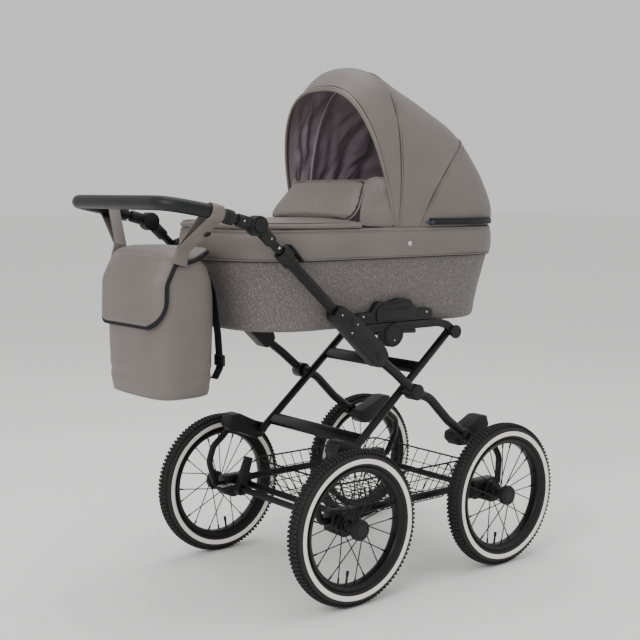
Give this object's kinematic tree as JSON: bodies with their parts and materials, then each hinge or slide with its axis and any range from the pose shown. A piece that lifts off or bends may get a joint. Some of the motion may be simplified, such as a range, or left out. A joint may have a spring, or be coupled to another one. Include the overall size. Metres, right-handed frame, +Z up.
{
  "type": "baby stroller",
  "caption": "Retro pram: lift-off carrycot with hood on an X-folding chassis with C-springs and spoked wheels, and a bag on the handle.",
  "frame": {"origin": "on the floor, under the middle of the whole pram's box", "axes": "+X the way the pram is pushed, +Y its left side, +Z up"},
  "size_m": [1.0897, 0.578, 1.1905],
  "materials": {
    "black_paint": "satin black powder coat",
    "black_plastic": "fine-textured moulded plastic",
    "tyre": "moulded rubber with a white ring on each wall",
    "grip_leatherette": "smooth matt black leatherette",
    "taupe_leatherette": "smooth taupe-grey leatherette, stitched",
    "taupe_fabric": "taupe-grey woven melange",
    "cotton": "white cotton cover",
    "bright_steel": "bright ribbed plate"
  },
  "bodies": {
    "chassis": {"back_axle": "black_paint", "front_axle": "black_paint", "left_side_rail": "black_paint", "right_side_rail": "black_paint", "back_left_spring": "black_paint", "back_right_spring": "black_paint", "front_left_spring": "black_paint", "front_right_spring": "black_paint", "back_left_shoe": "black_plastic", "back_right_shoe": "black_plastic", "front_left_shoe": "black_plastic", "front_right_shoe": "black_plastic", "basket": "black_paint"},
    "front_left_wheel_body": {"front_left_tyre": "tyre", "front_left_wheel": "black_paint"},
    "front_right_wheel_body": {"front_right_tyre": "tyre", "front_right_wheel": "black_paint"},
    "back_left_wheel_body": {"back_left_tyre": "tyre", "back_left_wheel": "black_paint"},
    "back_right_wheel_body": {"back_right_tyre": "tyre", "back_right_wheel": "black_paint"},
    "brake": {"brake_pedal": "black_plastic", "brake_tread": "bright_steel"},
    "back_legs": {"left_back_leg": "black_paint", "right_back_leg": "black_paint", "lower_cross_tube": "black_paint", "upper_cross_tube": "black_paint"},
    "front_legs": {"left_front_leg": "black_paint", "right_front_leg": "black_paint"},
    "seat_rails": {"left_seat_rail": "black_paint", "right_seat_rail": "black_paint", "left_receiver": "black_plastic", "right_receiver": "black_plastic"},
    "lower_arms": {"left_fold_housing": "black_plastic", "left_lower_arm": "black_paint", "left_collar": "black_plastic", "right_fold_housing": "black_plastic", "right_lower_arm": "black_paint", "right_collar": "black_plastic"},
    "left_lever": {"left_clamp_lever": "black_plastic"},
    "right_lever": {"right_clamp_lever": "black_plastic"},
    "upper_arms": {"left_upper_arm": "black_paint", "right_upper_arm": "black_paint"},
    "handle": {"handlebar": "black_paint", "handle_grip": "grip_leatherette"},
    "left_button": {"left_handle_button": "black_plastic"},
    "right_button": {"right_handle_button": "black_plastic"},
    "straps": {"left_bag_strap": "taupe_leatherette", "right_bag_strap": "taupe_leatherette"},
    "bag": {"bag_body": "taupe_leatherette"},
    "bag_lid": {"bag_flap": "taupe_leatherette"},
    "carrycot": {"carrycot_tub": "taupe_fabric", "rim_band": "taupe_leatherette", "mattress": "cotton", "left_adaptor": "black_plastic", "right_adaptor": "black_plastic", "apron": "taupe_leatherette", "hood_canopy": "taupe_leatherette"},
    "apron_lid": {"apron_flap": "taupe_leatherette"},
    "hood": {"hood_bow": "black_paint"}
  },
  "joints": [
    {"name": "front_left_wheel_spin", "type": "hinge", "parent": "chassis", "child": "front_left_wheel_body", "pos_m": [0.371, 0.259, 0.174], "axis": [0, 1, 0], "continuous": true},
    {"name": "front_right_wheel_spin", "type": "hinge", "parent": "chassis", "child": "front_right_wheel_body", "pos_m": [0.371, -0.259, 0.174], "axis": [0, 1, 0], "continuous": true},
    {"name": "back_left_wheel_spin", "type": "hinge", "parent": "chassis", "child": "back_left_wheel_body", "pos_m": [-0.102, 0.259, 0.174], "axis": [0, 1, 0], "continuous": true},
    {"name": "back_right_wheel_spin", "type": "hinge", "parent": "chassis", "child": "back_right_wheel_body", "pos_m": [-0.102, -0.259, 0.174], "axis": [0, 1, 0], "continuous": true},
    {"name": "brake_rock", "type": "hinge", "parent": "chassis", "child": "brake", "pos_m": [-0.102, 0.17, 0.174], "axis": [0, -1, 0], "range_deg": [0, 20]},
    {"name": "frame_fold", "type": "hinge", "parent": "chassis", "child": "back_legs", "pos_m": [-0.03, 0, 0.3175], "axis": [0, -1, 0], "range_deg": [-28, 0]},
    {"name": "leg_cross", "type": "hinge", "parent": "back_legs", "child": "front_legs", "pos_m": [0.12125, 0, 0.44475], "axis": [0, -1, 0], "range_deg": [0, 68.6]},
    {"name": "rail_pivot", "type": "hinge", "parent": "back_legs", "child": "seat_rails", "pos_m": [0.2725, 0, 0.572], "axis": [0, -1, 0], "range_deg": [0, 28]},
    {"name": "arm_fold", "type": "hinge", "parent": "front_legs", "child": "lower_arms", "pos_m": [-0.00205, 0, 0.54095], "axis": [0, -1, 0], "range_deg": [-80.3, 0]},
    {"name": "left_clamp_lever_open", "type": "hinge", "parent": "lower_arms", "child": "left_lever", "pos_m": [-0.24427, 0.212, 0.79201], "axis": [0, -1, 0], "range_deg": [0, 80]},
    {"name": "right_clamp_lever_open", "type": "hinge", "parent": "lower_arms", "child": "right_lever", "pos_m": [-0.24427, -0.212, 0.79201], "axis": [0, -1, 0], "range_deg": [0, 80]},
    {"name": "handle_extend", "type": "slide", "parent": "lower_arms", "child": "upper_arms", "axis": [-0.7431, 0, 0.6691], "range_m": [0, 0.1]},
    {"name": "handle_angle", "type": "hinge", "parent": "upper_arms", "child": "handle", "pos_m": [-0.32718, 0, 0.83369], "axis": [0, -1, 0], "range_deg": [-15, 45]},
    {"name": "left_button_press", "type": "slide", "parent": "handle", "child": "left_button", "axis": [0, -1, 0], "range_m": [0, 0.0035], "stiffness_N_per_m": 400, "springref_m": -0.002},
    {"name": "right_button_press", "type": "slide", "parent": "handle", "child": "right_button", "axis": [0, 1, 0], "range_m": [0, 0.0035], "stiffness_N_per_m": 400, "springref_m": -0.002},
    {"name": "strap_swing", "type": "hinge", "parent": "handle", "child": "straps", "pos_m": [-0.43, 0, 0.86125], "axis": [0, -1, 0], "range_deg": [-45, 15], "deforming": ["left_bag_strap", "right_bag_strap"]},
    {"name": "bag_tilt", "type": "hinge", "parent": "straps", "child": "bag", "pos_m": [-0.43, 0, 0.77469], "axis": [0, -1, 0], "range_deg": [-23.4, 0]},
    {"name": "bag_flap_open", "type": "hinge", "parent": "bag", "child": "bag_lid", "pos_m": [-0.354, 0, 0.78569], "axis": [0, 1, 0], "range_deg": [0, 45]},
    {"name": "cot_lift", "type": "slide", "parent": "seat_rails", "child": "carrycot", "axis": [0, 0, 1], "range_m": [0, 0.15]},
    {"name": "apron_flap_fold", "type": "hinge", "parent": "carrycot", "child": "apron_lid", "pos_m": [-0.027, 0, 0.838], "axis": [0, -1, 0], "range_deg": [0, 110]},
    {"name": "hood_fold", "type": "hinge", "parent": "carrycot", "child": "hood", "pos_m": [0.115, 0, 0.8], "axis": [0, 1, 0], "range_deg": [0, 60], "deforming": ["hood_canopy"]}
  ],
  "couplings": [
    {"joint": "leg_cross", "follows": "frame_fold", "ratio": -2.45},
    {"joint": "rail_pivot", "follows": "frame_fold", "ratio": -1},
    {"joint": "arm_fold", "follows": "frame_fold", "ratio": 2.8666},
    {"joint": "bag_tilt", "follows": "frame_fold", "ratio": 0.8333},
    {"joint": "strap_swing", "follows": "handle_angle", "ratio": -1}
  ]
}
